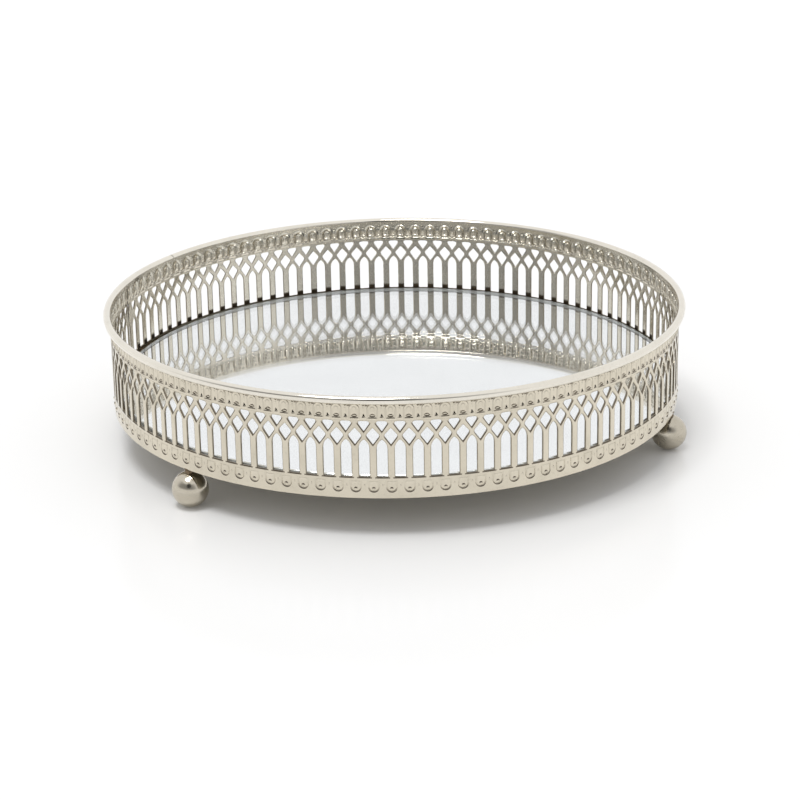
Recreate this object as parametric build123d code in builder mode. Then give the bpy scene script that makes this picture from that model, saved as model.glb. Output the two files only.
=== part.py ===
# Round mirror tray for candles.
# A pierced gallery band with a wire rim stands round a mirror disc, on three ball feet.
# Millimetres, +Z up. The origin lies on the table under the centre of the tray.
# Azimuths are degrees turned from the front (-Y) towards the right (+X).
import os
from math import cos, pi, radians, sin

from build123d import *

os.makedirs("parts", exist_ok=True)

# Gallery band: a strip of plated steel, stood on edge and bent a little at every bar
band_radius = 146.7
band_sheet = 0.7
band_height = 50.0

# Pierced pattern of the band, as heights above its lower edge
window_sill = 10.6
window_spring = 25.0
window_apex = 29.6
window_width = 5.1
diamond_bottom = 26.9
diamond_middle = 31.6
diamond_top = 35.4
diamond_width = 6.4
triangle_apex = 33.5
triangle_top = 38.75
triangle_width = 6.2

# Bays of the pattern, counted round the band from the seam
bay_count = 108
seam_bay_share = 0.37
seam_azimuth = -103.9
seam_gap = 0.3
seam_land = 1.35

# Rim ring: round wire with a rebate that drops over the band's upper edge
rim_wire = 4.0
rim_reach = 3.3
rim_drop = 0.6
rim_clearance = 0.1
rim_joint_azimuth = -124.6
rim_joint_gap = 0.4

# Base pan: pressed sheet with a turned-up flange, soldered inside the band
pan_sheet = 0.8
pan_depth = 7.0
pan_bend_radius = 1.6
solder_clearance = 0.1

# Backing board, foam pads and mirror, stacked on the pan's floor.
# The mirror is stuck off centre, to the right and to the front, by shares of its gap.
board_thickness = 5.5
board_clearance = 0.4
pad_thickness = 0.8
pad_width = 22.0
pad_ring_radius = 95.0
pad_ring_count = 5
mirror_thickness = 4.0
mirror_gap = 2.0
mirror_right_share = 0.55
mirror_front_share = 0.5
mirror_arris = 0.6

# Ball feet, each brazed by a short neck under the band's lower edge and the pan
foot_radius = 9.1
foot_inset = 2.2
foot_neck_radius = 2.2
foot_neck_height = 1.7
foot_azimuths = {
    "ball_foot_front_left": -44.4,
    "ball_foot_right": 74.6,
    "ball_foot_back": 195.1,
}

# How far every cutting tool runs past what it cuts
overrun = 1.0

# Heights above the table
foot_centre_height = foot_radius
base_height = foot_centre_height + foot_radius + foot_neck_height
band_top = base_height + band_height
board_bottom = base_height + pan_sheet
board_top = board_bottom + board_thickness
mirror_bottom = board_top + pad_thickness

# Angles round the band
full_turn = 360.0
front_angle = -90.0
bay_angle = full_turn / (bay_count + seam_bay_share)
degrees_per_mm = full_turn / (2 * pi * band_radius)
strip_start = front_angle + seam_azimuth - full_turn
strip_end = strip_start + full_turn - seam_gap * degrees_per_mm
first_window_angle = strip_start + (seam_land + window_width / 2) * degrees_per_mm
first_bar_angle = first_window_angle + bay_angle / 2
window_range = bay_count * bay_angle
bar_range = window_range - bay_angle

# Radii worked out from the band outwards and inwards: the inner one is that of the flats
flat_share = cos(radians(bay_angle / 2))
band_inner_radius = band_radius * flat_share - band_sheet
rim_radius = band_radius + rim_reach
rim_wire_radius = rim_wire / 2
rim_centre_radius = rim_radius - rim_wire_radius
rim_centre_height = band_top - rim_drop
pan_radius = band_inner_radius - solder_clearance
pan_inner_radius = pan_radius - pan_sheet
board_radius = pan_inner_radius - (pan_bend_radius - pan_sheet) - board_clearance
mirror_radius = band_inner_radius - mirror_gap
foot_circle_radius = band_radius - foot_inset


def radial_plane(radius):
    """Upright plane that faces out from the axis at this radius, at the band's lower edge."""
    return Plane(origin=(radius, 0, base_height), x_dir=(0, 1, 0), z_dir=(1, 0, 0))


# Cutter for one bay's lancet window and the triangle above it
cutter_plane = radial_plane(band_inner_radius - overrun)
cutter_depth = band_sheet + 2 * overrun
half_window = window_width / 2
half_triangle = triangle_width / 2

with BuildPart() as window_cutter:
    with BuildSketch(cutter_plane):
        with BuildLine():
            Polyline(
                (-half_window, window_spring),
                (-half_window, window_sill),
                (half_window, window_sill),
                (half_window, window_spring),
            )
            TangentArc((half_window, window_spring), (0, window_apex), tangent=(0, 1))
            TangentArc((-half_window, window_spring), (0, window_apex), tangent=(0, 1))
        make_face()
        with BuildLine():
            Polyline(
                (0, triangle_apex),
                (half_triangle, triangle_top),
                (-half_triangle, triangle_top),
                close=True,
            )
        make_face()
    extrude(amount=cutter_depth)

# Cutter for the diamond that stands over each bar
half_diamond = diamond_width / 2

with BuildPart() as diamond_cutter:
    with BuildSketch(cutter_plane):
        with BuildLine():
            Polyline(
                (0, diamond_bottom),
                (half_diamond, diamond_middle),
                (0, diamond_top),
                (-half_diamond, diamond_middle),
                close=True,
            )
        make_face()
    extrude(amount=cutter_depth)

# Plan of the strip: it is bent on every bar's axis, so each bay is flat, and open at the seam
bend_angles = [first_bar_angle + bay * bay_angle for bay in range(bay_count)]
plan_angles = [strip_start, *bend_angles, strip_end]
plan_radii = (band_radius, band_inner_radius / flat_share)
outer_points, inner_points = (
    [(radius * cos(radians(angle)), radius * sin(radians(angle))) for angle in plan_angles]
    for radius in plan_radii
)

# Gallery band: windows and triangles between the bars, a diamond over each bar
with BuildPart() as gallery_band:
    with BuildSketch(Plane.XY.offset(base_height)):
        with BuildLine():
            Polyline(*outer_points, *reversed(inner_points), close=True)
        make_face()
    extrude(amount=band_height)
    with PolarLocations(0, bay_count, first_window_angle, window_range):
        add(window_cutter.part, mode=Mode.SUBTRACT)
    with PolarLocations(0, bay_count - 1, first_bar_angle, bar_range):
        add(diamond_cutter.part, mode=Mode.SUBTRACT)

gallery_band.part.label = "gallery_band"
export_step(gallery_band.part, "parts/gallery_band.step")

# Rim ring: the rebate seats on the band's upper edge, and the wire's ends butt at one joint
with BuildPart() as rim_ring:
    with BuildSketch(Plane.XZ):
        with Locations((rim_centre_radius, rim_centre_height)):
            Circle(rim_wire_radius)
        with Locations((band_radius + rim_clearance, band_top)):
            Rectangle(rim_wire, rim_wire, align=(Align.MAX, Align.MAX), mode=Mode.SUBTRACT)
    revolve(axis=Axis.Z)
    with BuildSketch(Plane.XY.offset(rim_centre_height - rim_wire)):
        with PolarLocations(rim_centre_radius, 1, front_angle + rim_joint_azimuth):
            Rectangle(rim_wire + 2 * overrun, rim_joint_gap)
    extrude(amount=2 * rim_wire, mode=Mode.SUBTRACT)

rim_ring.part.label = "rim_ring"
export_step(rim_ring.part, "parts/rim_ring.step")

# Base pan: a disc pressed up at its edge, open above
with BuildPart() as base_pan:
    with BuildSketch(Plane.XY.offset(base_height)):
        Circle(pan_radius)
    extrude(amount=pan_depth)
    fillet(base_pan.faces().sort_by(Axis.Z)[0].edges(), radius=pan_bend_radius)
    offset(amount=-pan_sheet, openings=base_pan.faces().sort_by(Axis.Z)[-1])

base_pan.part.label = "base_pan"
export_step(base_pan.part, "parts/base_pan.step")

# Backing board: a fibreboard disc laid in the pan
with BuildPart() as backing_board:
    with BuildSketch(Plane.XY.offset(board_bottom)):
        Circle(board_radius)
    extrude(amount=board_thickness)

backing_board.part.label = "backing_board"
export_step(backing_board.part, "parts/backing_board.step")

# Foam pads that stick the mirror to the board: a ring of them and one at the centre
with BuildPart() as mirror_pads:
    with BuildSketch(Plane.XY.offset(board_top)):
        Rectangle(pad_width, pad_width)
        with PolarLocations(pad_ring_radius, pad_ring_count, front_angle):
            Rectangle(pad_width, pad_width)
    extrude(amount=pad_thickness)

mirror_pads.part.label = "mirror_pads"
export_step(mirror_pads.part, "parts/mirror_pads.step")

# Mirror: silvered glass with its two edges ground to a small arris
with BuildPart() as mirror_glass:
    with BuildSketch(Plane.XY.offset(mirror_bottom)):
        with Locations((mirror_right_share * mirror_gap, -mirror_front_share * mirror_gap)):
            Circle(mirror_radius)
    extrude(amount=mirror_thickness)
    chamfer(mirror_glass.edges().filter_by(GeomType.CIRCLE), length=mirror_arris)

mirror_glass.part.label = "mirror_glass"
export_step(mirror_glass.part, "parts/mirror_glass.step")

# Ball feet: a steel ball each, whose neck meets the band's lower edge and the pan's floor
neck_reach = base_height - foot_centre_height
neck_align = (Align.CENTER, Align.CENTER, Align.MIN)

for foot_name, foot_azimuth in foot_azimuths.items():
    with BuildPart() as ball_foot:
        with PolarLocations(foot_circle_radius, 1, front_angle + foot_azimuth):
            with Locations((0, 0, foot_centre_height)):
                Sphere(foot_radius)
                Cylinder(foot_neck_radius, neck_reach, align=neck_align)
    ball_foot.part.label = foot_name
    export_step(ball_foot.part, f"parts/{foot_name}.step")
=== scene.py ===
# Round mirror tray for candles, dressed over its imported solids.
# Metres, +Z up. The origin lies on the table under the centre of the tray.
# Azimuths are turned from the front (-Y) towards the right (+X).
from math import acos, asin, atan2, cos, hypot, pi, radians, sin
from typing import NamedTuple

import bpy
from bpy.props import FloatProperty, FloatVectorProperty, IntProperty, PointerProperty
from mathutils import Matrix, Vector


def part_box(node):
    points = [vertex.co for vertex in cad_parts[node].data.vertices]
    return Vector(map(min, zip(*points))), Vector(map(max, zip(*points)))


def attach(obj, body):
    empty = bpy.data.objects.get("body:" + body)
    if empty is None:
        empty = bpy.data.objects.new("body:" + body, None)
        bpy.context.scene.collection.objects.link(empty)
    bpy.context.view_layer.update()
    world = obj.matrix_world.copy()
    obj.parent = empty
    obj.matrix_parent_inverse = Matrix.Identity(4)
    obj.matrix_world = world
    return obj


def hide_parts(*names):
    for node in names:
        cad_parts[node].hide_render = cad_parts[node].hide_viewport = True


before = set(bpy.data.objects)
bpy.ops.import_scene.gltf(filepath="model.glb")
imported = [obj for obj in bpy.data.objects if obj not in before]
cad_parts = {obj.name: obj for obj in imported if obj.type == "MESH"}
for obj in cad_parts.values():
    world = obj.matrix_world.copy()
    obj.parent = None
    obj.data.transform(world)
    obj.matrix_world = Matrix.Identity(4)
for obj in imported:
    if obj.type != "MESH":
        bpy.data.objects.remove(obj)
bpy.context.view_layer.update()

bl_info = {
    "name": "Round Mirror Tray",
    "version": (1, 0, 0),
    "blender": (4, 5, 0),
    "location": "View3D > Sidebar > Tray",
    "description": "Models a pierced round mirror tray for candles, piece by piece",
    "category": "Add Mesh",
}

ROOT = "root"
FULL_TURN = 2 * pi


def reach(node_name):
    """Largest distance of a solid's corners from the tray's axis."""
    return max(hypot(corner.co.x, corner.co.y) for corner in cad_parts[node_name].data.vertices)


BAND_LOW, BAND_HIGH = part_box("gallery_band")
BASE_HEIGHT = BAND_LOW.z
BAND_HEIGHT = BAND_HIGH.z - BAND_LOW.z
BAND_RADIUS = reach("gallery_band")
MIRROR_LOW, MIRROR_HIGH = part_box("mirror_glass")
MIRROR_RADIUS = (MIRROR_HIGH.x - MIRROR_LOW.x) / 2
RIM_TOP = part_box("rim_ring")[1].z
RIM_RADIUS = reach("rim_ring")

# Faces of the strip and of the mirror, in the order of their finishes
PLATE, ROLLED, CUT = range(3)
SILVER, EDGE, ARRIS, CLEAR = range(4)

# Drawing of the flat pieces
DRAWING_SCALE = 1000.0
TINY = 0.000001
MERGE = 0.00001
UPRIGHT = Matrix.Rotation(radians(90), 4, "X")

# Steps of the arcs; corners rounded by less than this radius take the fewest
CORNER_SHARP = 0.0005
SHARP_STEPS = 2
CORNER_STEPS = 3
LANCET_STEPS = 6
RIB_STEPS = 4
TONGUE_STEPS = 6
ARCH_STEPS = 10
OVAL_POINTS = 10
BEAD_POINTS = 12
RIM_STEPS = 26
RIM_TURNS = 360
MIRROR_SIDES = 256
BALL_SEGMENTS = 64
BALL_RINGS = 48
NECK_SIDES = 32

# Rings of each motif, as shares of its unit of width and of its rise
RINGS = {
    "roll": ((1.0, -1.0), (1.0, -1.2)),
    "spur": ((0.35, 0.4),),
    "dart": ((1.0, -0.8), (0.8, 0.6)),
    "rib": ((0.5, 0.3),),
    "pit": ((1.3, -1.2),),
    "oval": ((1.2, -1.0), (1.0, 0.7)),
    "bead": ((0.27, 1.0), (0.27, 0.6), (0.27, 0.25)),
}
GROOVE_DEPTH = 1.2
TONGUE_RISE = 0.55

# Painted shade on the relief's faces: from which lean to which, and how much where they face sideways
# The slope shade is a painted reflection of the dim room, darkest on slopes that face up.
SLOPE_SHADE = "gathered_tarnish"
LEAN_NONE = 0.1
LEAN_FULL = 0.52
SIDE_SHARE = 0.2
CUT_SPREAD = 0.6

# Darkening and painted shade round the openings, in widths of a mark; on the shoulders, in half bays; on
# slants, in shares
MARK_SOFT = 0.6
SILL_DEPTH = 1.4
SILL_OVERHANG = 2.2
FEET_HEIGHT = 5
FEET_SOFT = 3
SHOULDER = (-0.75, -0.55)
SLANT_END = 2 / 3
SLANT_FADE = 1 / 4

# Soft back of the relief, in half widths of its motifs
BACK_ARCH_INNER = (0.6, 0.78)
BACK_ARCH_OUTER = (0.8, 1.35)
BACK_TONGUE = (0.3, 0.9)
BACK_TONGUE_DEPTH = 0.65
BACK_HILL_TOP = 0.0002
BACK_HILL_RISE = 0.6
BACK_OVAL_SQUEEZE = 0.6
BACK_OVAL_SIDE = 0.7
BACK_DART_SIDE = 0.8

# Detail and roughness of the finishes' noises, where they are cut, and in which shares they add up
PLATE_NOISE = (4.0, 0.5)
STUFF_NOISE = (3.0, 0.55)
CLOUD_EDGES = (0.38, 0.68)
GRAIN_EDGES = (0.52, 0.72)
CLOUD_STAIN = 0.55
CLOUD_DENT = 0.8
TONE_EDGES = (0.35, 0.65)
GLOSS_EDGES = (0.3, 0.7)
CLEANER_INSIDE = 0.35
# How much rougher the plate is where the painted shade lies
SHADE_ROUGHER = 0.2
GLASS_IOR = 1.52

# Solder in the rim's joint, as shares of the wire's radius, and how uneven it is
SOLDER_SHARE = 0.62
SOLDER_STRETCH = (1, 0.4, 1)
LUMP_SWELL = 0.06
LUMP_WAVES = (9, 4)

# Upward parts of a normal that count as flat and as slanted
FLAT = 0.9
SLANTED = 0.3

# Stage
FLOOR_SIZE = 14.0
CAMERA_TURN = [radians(turn) for turn in (69.7255, 0.9641, -0.4513)]
WHITE = (1, 1, 1, 1)


def length(name, description, default):
    return FloatProperty(name=name, description=description, default=default, unit="LENGTH", precision=5)


def share(name, description, default):
    return FloatProperty(name=name, description=description, default=default, min=0, max=1)


def level(name, description, default):
    return FloatProperty(name=name, description=description, default=default)


def angle(name, description, degrees):
    return FloatProperty(name=name, description=description, default=radians(degrees), subtype="ANGLE")


def vector(name, description, default, subtype):
    return FloatVectorProperty(name=name, description=description, default=default, subtype=subtype)


def pair(name, description, default):
    return FloatVectorProperty(name=name, description=description, default=default, size=2)


def colour(name, description, default):
    return vector(name, description, default, "COLOR")


class TrayPatternSizes(bpy.types.PropertyGroup):
    """Pierced pattern of the band, as heights above its lower edge"""

    bay_count: IntProperty(name="Bays", description="Bays between the two ends of the strip", default=108)
    seam_bay: share("Seam Bay", "Part of a bay taken up by the plain post at the seam", 0.37)
    seam_azimuth: angle("Seam Azimuth", "Where the strip's ends meet", -103.9)
    seam_gap: length("Seam Gap", "Gap between the strip's ends", 0.0003)
    seam_land: length("Seam Land", "Plain metal from the seam to the first window", 0.00135)
    sheet: length("Sheet", "Thickness of the strip", 0.0007)
    window_sill: length("Window Sill", "Height of the lancets' sills", 0.0106)
    window_spring: length("Window Spring", "Height where the lancets start to narrow", 0.0250)
    window_apex: length("Window Apex", "Height of the lancets' points", 0.0296)
    window_width: length("Window Width", "Width of the lancets", 0.0051)
    window_corner: length("Window Corner", "Rounding of the lancets' lower corners", 0.0004)
    diamond_bottom: length("Diamond Bottom", "Lower point of the diamonds", 0.0269)
    diamond_middle: length("Diamond Middle", "Height of the diamonds' side points", 0.0316)
    diamond_top: length("Diamond Top", "Upper point of the diamonds", 0.0354)
    diamond_width: length("Diamond Width", "Width of the diamonds before rounding", 0.0068)
    diamond_side: length("Diamond Side Rounding", "Rounding of the diamonds' side points", 0.0012)
    triangle_apex: length("Triangle Apex", "Lower point of the triangles", 0.0335)
    triangle_top: length("Triangle Top", "Height of the triangles' upper edge", 0.03875)
    triangle_width: length("Triangle Width", "Width of the triangles before rounding", 0.0073)
    triangle_corner: length("Triangle Rounding", "Rounding of the triangles' upper corners", 0.00106)
    tip: length("Tip Rounding", "Rounding of the sharp points", 0.0002)
    roll_width: length("Roll Width", "Width of the rolled edge that the punch leaves", 0.00018)
    roll_depth: length("Roll Depth", "Depth of the rolled edge at each step", 0.00009)
    # These marks darken the sills and the windows' sides, and paint shade on the shoulders, the openings'
    # lower slants and the bars' feet.
    mark_width: length("Mark Width", "Width of the darkening and painted shade round the openings", 0.00035)
    mark_depth: share("Mark Depth", "How dark the darkening and painted shade round the openings is", 0.8)


class TrayOrnamentSizes(bpy.types.PropertyGroup):
    """Embossed friezes above and below the windows, as heights above the band's lower edge"""

    arch_top: length("Arch Top", "Top of the upper frieze's arches", 0.0475)
    arch_foot: length("Arch Foot", "Foot of the upper frieze's arches", 0.0396)
    arch_half: length("Arch Half Width", "Half the width of an arch", 0.00275)
    slope: length("Slope", "Width of a ridge's side", 0.00048)
    crest: length("Crest", "Width of a ridge's top or a groove's bottom", 0.0001)
    groove_slope: length("Groove Slope", "Width of a groove's side", 0.00037)
    moat: length("Moat", "Width of the sunken outlines of ovals and darts", 0.0003)
    rise: length("Rise", "Height of the ridges and depth of the grooves", 0.00022)
    tongue_half: length("Tongue Half Width", "Half the width of the raised tongues", 0.0012)
    tongue_top: length("Tongue Top", "Top of the raised tongues", 0.0461)
    tongue_foot: length("Tongue Foot", "Foot of the raised tongues", 0.0428)
    oval_height: length("Oval Height", "Height of the sunken ovals under the tongues", 0.0416)
    oval_half: length("Oval Half Width", "Half the width of the ovals", 0.0016)
    oval_rise: length("Oval Half Height", "Half the height of the ovals", 0.0009)
    dart_foot: length("Dart Foot", "Foot of the sunken darts between the arches", 0.0405)
    dart_top: length("Dart Top", "Point of the sunken darts", 0.0428)
    dart_half: length("Dart Half Width", "Half the width of the darts", 0.0013)
    rib_half: length("Rib Half Width", "Half the width of the ribs between the arches", 0.0004)
    rib_foot: length("Rib Foot", "Foot of the ribs between the arches", 0.0432)
    rib_top: length("Rib Top", "Top of the ribs between the arches", 0.0456)
    pit_foot: length("Pit Foot", "Point of the pits between the arches' shoulders", 0.0460)
    pit_top: length("Pit Top", "Top of the pits", 0.0475)
    pit_half: length("Pit Half Width", "Half the width of the pits", 0.0013)
    loop_half: length("Loop Half Width", "Half the width of a lower loop", 0.00275)
    loop_bottom: length("Loop Bottom", "Bottom of the lower loops", 0.00285)
    loop_top: length("Loop Top", "Where the lower loops' legs end", 0.0093)
    loop_fade: length("Loop Fade", "Where the lower loops' legs start to fade", 0.0075)
    bead_height: length("Bead Height", "Height of the beads in the lower loops", 0.0048)
    bead_radius: length("Bead Radius", "Radius of the beads in the lower loops", 0.0010)
    back_relief: length("Back Relief", "Depth of the relief's soft back inside the band", 0.0005)
    spur_foot: length("Spur Foot", "Foot of the faint spurs between the loops", 0.0058)
    spur_top: length("Spur Top", "Top of the faint spurs between the loops", 0.0082)


class TrayPartSizes(bpy.types.PropertyGroup):
    """Rim, mirror and feet"""

    rim_wire: length("Rim Wire", "Diameter of the rim's wire", 0.0040)
    rim_rebate: length("Rim Rebate", "Clearance of the rim's rebate outside the band", 0.0001)
    rim_joint_azimuth: angle("Rim Joint", "Where the wire's ends butt", -124.6)
    rim_joint_gap: length("Rim Joint Gap", "Gap between the wire's ends", 0.0004)
    mirror_arris: length("Mirror Arris", "Ground corner of the mirror", 0.0006)
    silver_paint: length("Silver Paint", "Paint under the silver, left out under the disc", 0.00005)
    neck_radius: length("Neck Radius", "Radius of the necks between the feet and the band", 0.0022)
    braze: length("Braze", "Flare of the braze at the ends of each neck", 0.0004)


class TrayColours(bpy.types.PropertyGroup):
    """Colours of the finishes"""

    nickel: colour("Nickel", "Warm nickel plate of the band", (0.695, 0.638, 0.525))
    tarnish: colour("Tarnish", "Darker tone where the plate has aged", (0.46, 0.42, 0.33))
    # Dark tone painted as shade and as reflection of the dim room on the relief's slopes, round the
    # openings and at the bars' feet; it also darkens the seam.
    gathered: colour("Gathered Tarnish", "Painted shade on the slopes of the relief and round the openings", (0.07, 0.052, 0.036))
    bright_inside: colour("Bright Inside", "Cleaner plate inside the band", (0.80, 0.775, 0.70))
    rolled_edge: colour("Rolled Edge", "Rolled edges round the openings", (0.52, 0.47, 0.37))
    cut_edge: colour("Cut Edge", "Punched edges of the sheet", (0.30, 0.26, 0.20))
    rim: colour("Rim", "Polished plate of the rim", (0.80, 0.76, 0.68))
    ball: colour("Ball", "Plate of the feet", (0.56, 0.515, 0.43))
    braze: colour("Braze", "Braze and tarnish round the necks of the feet", (0.20, 0.15, 0.10))
    silver: colour("Silver", "Silvered glass", (0.88, 0.893, 0.903))
    glass: colour("Glass", "Clear glass over the silver", (0.985, 0.99, 0.99))
    glass_edge: colour("Glass Edge", "Ground edge of the glass", (0.74, 0.76, 0.74))
    arris: colour("Arris", "Ground corner of the glass", (0.86, 0.88, 0.87))
    board: colour("Board", "Raw fibreboard", (0.33, 0.25, 0.17))
    foam: colour("Foam", "White foam", (0.80, 0.80, 0.78))
    floor: colour("Floor", "Pale floor", (0.95, 0.95, 0.95))


class TrayStudio(bpy.types.PropertyGroup):
    """Camera and light"""

    camera_place: vector("Camera Place", "Where the camera stands", (0.0, -1.24861, 0.47611), "TRANSLATION")
    camera_turn: vector("Camera Turn", "How the camera is turned", CAMERA_TURN, "EULER")
    lens: level("Lens", "Focal length in millimetres", 114.045)
    sky_level: level("Sky Level", "Even light from all round", 0.7)
    sun_strength: level("Key Strength", "Strength of the key light", 1.22)
    sun_angle: angle("Key Angle", "Apparent width of the key light", 24)
    sun_from: vector("Key From", "Where the key light comes from", (-0.167, -0.180, 0.966), "DIRECTION")
    floor_gloss: share("Floor Gloss", "Specular level of the floor", 0.2)
    floor_lift: share("Floor Lift", "Light added to the floor as the camera sees it", 0.02)
    room_level: level("Room Level", "Brightness of what polished metal sees", 1.0)
    band_foot: pair("Band Foot", "Where the dim band of the room begins, as sines", (0.15, 0.33))
    band_head: pair("Band Head", "Where the dim band of the room ends, as sines", (0.66, 0.78))
    band_sides: pair("Band Sides", "Where the dim band fades out sideways, as cosines", (0.10, 0.75))
    band_heading: angle("Band Heading", "Where the dim band is widest", -22)
    band_dark: share("Band Darkness", "How much the dim band takes from the room's light", 0.68)
    core_heading: angle("Core Heading", "Where the darkest part of the room is", -5)
    core_elevation: angle("Core Elevation", "Height of the darkest part of the room", 36)
    core_sides: pair("Core Sides", "Where the darkest part fades out, as cosines", (0.93, 0.985))
    core_dark: share("Core Darkness", "How much the darkest part takes from the room's light", 0.93)


def sizes(group):
    """One of the tray's groups of sizes, by its name on the scene."""
    return getattr(bpy.context.scene, group)


def deselect():
    bpy.ops.object.select_all(action="DESELECT")


def select_only(piece):
    deselect()
    piece.select_set(True)
    bpy.context.view_layer.objects.active = piece


def joined(pieces, name):
    """One object from several, each of which keeps its own shells."""
    deselect()
    for piece in pieces:
        piece.select_set(True)
    bpy.context.view_layer.objects.active = pieces[0]
    bpy.ops.object.join()
    piece = bpy.context.view_layer.objects.active
    piece.name = name
    piece.data.name = name
    return piece


def new_piece(name, data):
    """A new object with this mesh, curve, lamp or camera."""
    piece = bpy.data.objects.new(name, data)
    bpy.context.collection.objects.link(piece)
    return piece


def primitive(add, name, **settings):
    """A new piece from one of Blender's own shapes, with its place applied."""
    deselect()
    add(**settings)
    piece = bpy.context.view_layer.objects.active
    piece.name = name
    bpy.ops.object.transform_apply(location=True, rotation=True, scale=True)
    return piece


def edit(piece, select="SELECT", kind="VERT"):
    """Edit mode on one piece, with everything or nothing selected."""
    select_only(piece)
    bpy.ops.object.mode_set(mode="EDIT")
    bpy.ops.mesh.select_mode(type=kind)
    bpy.ops.mesh.select_all(action=select)


def leave_edit():
    bpy.ops.object.mode_set(mode="OBJECT")


def leave_outward():
    """Turns every face of the piece in edit mode outward, and leaves it."""
    bpy.ops.mesh.select_all(action="SELECT")
    bpy.ops.mesh.normals_make_consistent(inside=False)
    leave_edit()


def moved(piece, matrix):
    piece.data.transform(matrix)
    piece.data.update()
    return piece


def ring_of(piece, azimuths, name):
    """Copies of one piece turned about the tray's axis, each with its own mesh, as one object."""
    copies = []
    for azimuth in azimuths:
        copy = new_piece(name, piece.data.copy())
        copies.append(moved(copy, Matrix.Rotation(azimuth, 4, "Z")))
    bpy.data.objects.remove(piece)
    return joined(copies, name)


def flat_piece(name, loops):
    """Upright flat sheet that faces the front, from loops of (across, up); inner loops are holes."""
    drawing = bpy.data.curves.new(name, "CURVE")
    drawing.dimensions = "2D"
    drawing.fill_mode = "BOTH"
    for loop in loops:
        spline = drawing.splines.new("POLY")
        spline.points.add(len(loop) - 1)
        for point, (across, up) in zip(spline.points, loop):
            point.co = (across * DRAWING_SCALE, up * DRAWING_SCALE, 0, 1)
        spline.use_cyclic_u = True
    select_only(new_piece(name, drawing))
    bpy.ops.object.convert(target="MESH")
    piece = bpy.context.view_layer.objects.active
    moved(piece, UPRIGHT @ Matrix.Scale(1 / DRAWING_SCALE, 4))
    if sum(face.normal.y for face in piece.data.polygons) > 0:
        edit(piece)
        bpy.ops.mesh.flip_normals()
        leave_edit()
    return give_metals(piece)


def drawn(name, loop, edges=(), faces=()):
    """Upright mesh on the points of a loop of (across, up)."""
    mesh = bpy.data.meshes.new(name)
    mesh.from_pydata([(across, 0, up) for across, up in loop], edges, faces)
    return new_piece(name, mesh)


def embossed(name, loop, steps, tone=PLATE, hollow=False):
    """Convex outline pressed in or out by steps of (width, rise), and the loop left in its middle."""
    piece = give_metals(drawn(name, loop, faces=[range(len(loop))]))
    mesh = piece.data
    mesh.polygons[0].material_index = tone
    edit(piece)
    for width, rise in steps:
        bpy.ops.mesh.inset(thickness=width, depth=rise, use_even_offset=True)
    leave_edit()
    middle = next(face for face in mesh.polygons if face.select)
    corners = [mesh.vertices[index].co for index in middle.vertices]
    inner = [(corner.x, corner.z) for corner in corners]
    if hollow:
        bpy.ops.object.mode_set(mode="EDIT")
        bpy.ops.mesh.delete(type="FACE")
        leave_edit()
    return piece, inner


def outline(name, loop):
    """Closed line of (across, up), without a face."""
    return drawn(name, loop, edges=[(index, (index + 1) % len(loop)) for index in range(len(loop))])


def clad(piece, *materials):
    """Gives a piece its finishes, in the order of its faces' numbers."""
    for material in materials:
        piece.data.materials.append(material)
    return piece


def give_metals(piece):
    """Gives a piece of the strip the band's finishes, in the order of PLATE, ROLLED and CUT."""
    return clad(piece, *map(material_of, ("gallery_plate", "rolled_edge", "cut_edge")))


def bent(piece):
    """A flat piece of the strip laid round the tray, at the band's outer face."""
    for vertex in piece.data.vertices:
        across, depth, up = vertex.co
        radius = BAND_RADIUS - depth
        azimuth = across / BAND_RADIUS
        vertex.co = (radius * sin(azimuth), -radius * cos(azimuth), up + BASE_HEIGHT)
    return piece


def cut_off(piece, across, keep_right):
    """Cuts a flat piece of the strip across and keeps one side of the cut."""
    edit(piece)
    bpy.ops.mesh.bisect(
        plane_co=(across, 0, 0), plane_no=(1, 0, 0), clear_inner=keep_right, clear_outer=not keep_right
    )
    leave_edit()
    return piece


def smoothed(piece, degrees=35):
    select_only(piece)
    bpy.ops.object.shade_smooth_by_angle(angle=radians(degrees))
    return piece


def finished(piece, slot, *nodes):
    """A finished piece rides with the tray and stands for its solids; the slot is not used."""
    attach(piece, ROOT)
    if nodes:
        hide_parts(*nodes)
    return piece


def arc(centre, radius, start, end, steps):
    """Points of an arc, its two ends included, from angles in radians."""
    turns = [start + (end - start) * step / steps for step in range(steps + 1)]
    return [(centre[0] + radius * cos(turn), centre[1] + radius * sin(turn)) for turn in turns]


def eased(corners, radii, grow=0.0):
    """Convex outline with each corner rounded, then grown all round; it runs counter-clockwise."""
    points = []
    for index, (corner, radius) in enumerate(zip(corners, radii)):
        corner = Vector(corner)
        along_in = (corner - Vector(corners[index - 1])).normalized()
        along_out = (Vector(corners[(index + 1) % len(corners)]) - corner).normalized()
        out_in = Vector((along_in.y, -along_in.x))
        out_out = Vector((along_out.y, -along_out.x))
        centre = corner - (out_in + out_out) * radius / (1 + out_in.dot(out_out))
        start = atan2(out_in.y, out_in.x)
        sweep = (atan2(out_out.y, out_out.x) - start) % FULL_TURN
        steps = SHARP_STEPS if radius < CORNER_SHARP else CORNER_STEPS
        points += arc(centre, radius + grow, start, start + sweep, steps)
    return points


def spike(tip, half, base, point):
    """Slim triangle that points up or down from its base, with all three tips eased."""
    corners = [(-half, base), (half, base), (0, point)]
    if point < base:
        corners.reverse()
    return eased(corners, (tip, tip, tip))


def tombstone(half, foot, top, steps):
    """Outline with a round head on straight sides, counter-clockwise."""
    return [(-half, foot), (half, foot), *arc((0, top - half), half, 0, pi, steps)]


def hung(loop, height):
    """The same outline upside down about a height, still counter-clockwise."""
    return [(across, 2 * height - up) for across, up in reversed(loop)]


def oval(middle, half_width, half_height, count):
    """Oval outline about a height on the middle line, counter-clockwise."""
    turns = [FULL_TURN * index / count for index in range(count)]
    return [(half_width * cos(turn), middle + half_height * sin(turn)) for turn in turns]


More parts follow.
